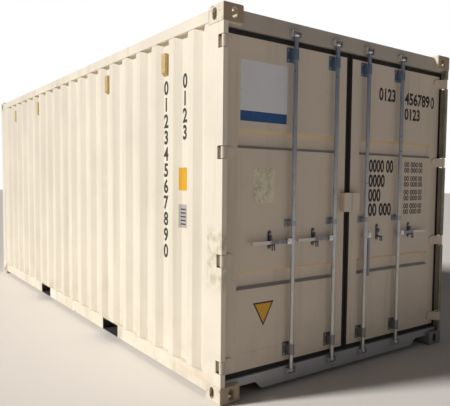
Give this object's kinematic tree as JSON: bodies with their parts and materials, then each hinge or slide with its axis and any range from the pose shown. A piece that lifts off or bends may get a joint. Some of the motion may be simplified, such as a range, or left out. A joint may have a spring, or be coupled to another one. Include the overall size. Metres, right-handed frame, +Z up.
{
  "type": "shipping container",
  "caption": "Corrugated steel freight container with hollow corner castings, a plywood floor, fork pockets and outward double doors held by turning lock rods.",
  "frame": {"origin": "middle of the footprint, on the underside of the bottom corner fittings", "axes": "+Z up, +Y along the length away from the doors, +X to the right when facing the doors"},
  "size_m": [2.438, 6.058, 2.591],
  "materials": {
    "cream_paint": "satin, weathered",
    "dark_grey_paint": "matt, weathered",
    "zinc_steel": "zinc coated, dull",
    "rubber": "matt",
    "plywood": "oiled",
    "tan_plastic": "matt",
    "plate_alloy": "worn"
  },
  "bodies": {
    "container_shell": {"top_corner_fittings": "cream_paint", "bottom_corner_fittings": "cream_paint", "rear_corner_posts": "cream_paint", "hinge_lugs": "cream_paint", "hinge_pins": "zinc_steel", "front_corner_posts": "cream_paint", "door_header": "cream_paint", "door_sill": "dark_grey_paint", "top_side_rails": "cream_paint", "bottom_side_rails": "cream_paint", "front_top_rail": "cream_paint", "front_bottom_rail": "cream_paint", "left_side_wall": "cream_paint", "right_side_wall": "cream_paint", "front_wall": "cream_paint", "roof_panel": "cream_paint", "floor_boards": "plywood", "floor_cross_members": "dark_grey_paint", "fork_pocket_plates": "dark_grey_paint", "top_cam_keepers": "zinc_steel", "bottom_cam_keepers": "zinc_steel", "ventilators": "tan_plastic"},
    "left_door": {"left_door_frame": "cream_paint", "left_door_panel": "cream_paint", "left_door_seal": "rubber", "left_door_hinge_blades": "cream_paint", "left_door_rod_bearings": "zinc_steel", "left_door_handle_keeps": "zinc_steel", "left_door_lock_box": "cream_paint", "left_door_data_plate": "plate_alloy"},
    "right_door": {"right_door_frame": "cream_paint", "right_door_panel": "cream_paint", "right_door_seal": "rubber", "right_door_hinge_blades": "cream_paint", "right_door_rod_bearings": "zinc_steel", "right_door_handle_keeps": "zinc_steel", "right_door_lock_box": "cream_paint"},
    "lock_rod_outer_left": {"lock_rod_outer_left": "zinc_steel"},
    "lock_rod_inner_left": {"lock_rod_inner_left": "zinc_steel"},
    "lock_rod_inner_right": {"lock_rod_inner_right": "zinc_steel"},
    "lock_rod_outer_right": {"lock_rod_outer_right": "zinc_steel"},
    "handle_outer_left": {"handle_outer_left": "zinc_steel"},
    "handle_inner_left": {"handle_inner_left": "zinc_steel"},
    "handle_inner_right": {"handle_inner_right": "zinc_steel"},
    "handle_outer_right": {"handle_outer_right": "zinc_steel"}
  },
  "joints": [
    {"name": "left_door_hinge", "type": "hinge", "parent": "container_shell", "child": "left_door", "pos_m": [-1.201, -3.011, 0], "axis": [0, 0, -1], "range_deg": [0, 265]},
    {"name": "right_door_hinge", "type": "hinge", "parent": "container_shell", "child": "right_door", "pos_m": [1.201, -3.011, 0], "axis": [0, 0, 1], "range_deg": [0, 265]},
    {"name": "lock_rod_outer_left_turn", "type": "hinge", "parent": "left_door", "child": "lock_rod_outer_left", "pos_m": [-0.592, -3.007, 0], "axis": [0, 0, -1], "range_deg": [-110, 0]},
    {"name": "handle_outer_left_swing", "type": "hinge", "parent": "lock_rod_outer_left", "child": "handle_outer_left", "pos_m": [-0.634, -3.007, 1.046], "axis": [0, 1, 0], "range_deg": [0, 35]},
    {"name": "lock_rod_inner_left_turn", "type": "hinge", "parent": "left_door", "child": "lock_rod_inner_left", "pos_m": [-0.177, -3.007, 0], "axis": [0, 0, -1], "range_deg": [-110, 0]},
    {"name": "handle_inner_left_swing", "type": "hinge", "parent": "lock_rod_inner_left", "child": "handle_inner_left", "pos_m": [-0.219, -3.007, 1.046], "axis": [0, 1, 0], "range_deg": [0, 35]},
    {"name": "lock_rod_outer_right_turn", "type": "hinge", "parent": "right_door", "child": "lock_rod_outer_right", "pos_m": [0.592, -3.007, 0], "axis": [0, 0, 1], "range_deg": [-110, 0]},
    {"name": "handle_outer_right_swing", "type": "hinge", "parent": "lock_rod_outer_right", "child": "handle_outer_right", "pos_m": [0.634, -3.007, 1.046], "axis": [0, -1, 0], "range_deg": [0, 35]},
    {"name": "lock_rod_inner_right_turn", "type": "hinge", "parent": "right_door", "child": "lock_rod_inner_right", "pos_m": [0.177, -3.007, 0], "axis": [0, 0, 1], "range_deg": [-110, 0]},
    {"name": "handle_inner_right_swing", "type": "hinge", "parent": "lock_rod_inner_right", "child": "handle_inner_right", "pos_m": [0.219, -3.007, 1.046], "axis": [0, -1, 0], "range_deg": [0, 60]}
  ]
}
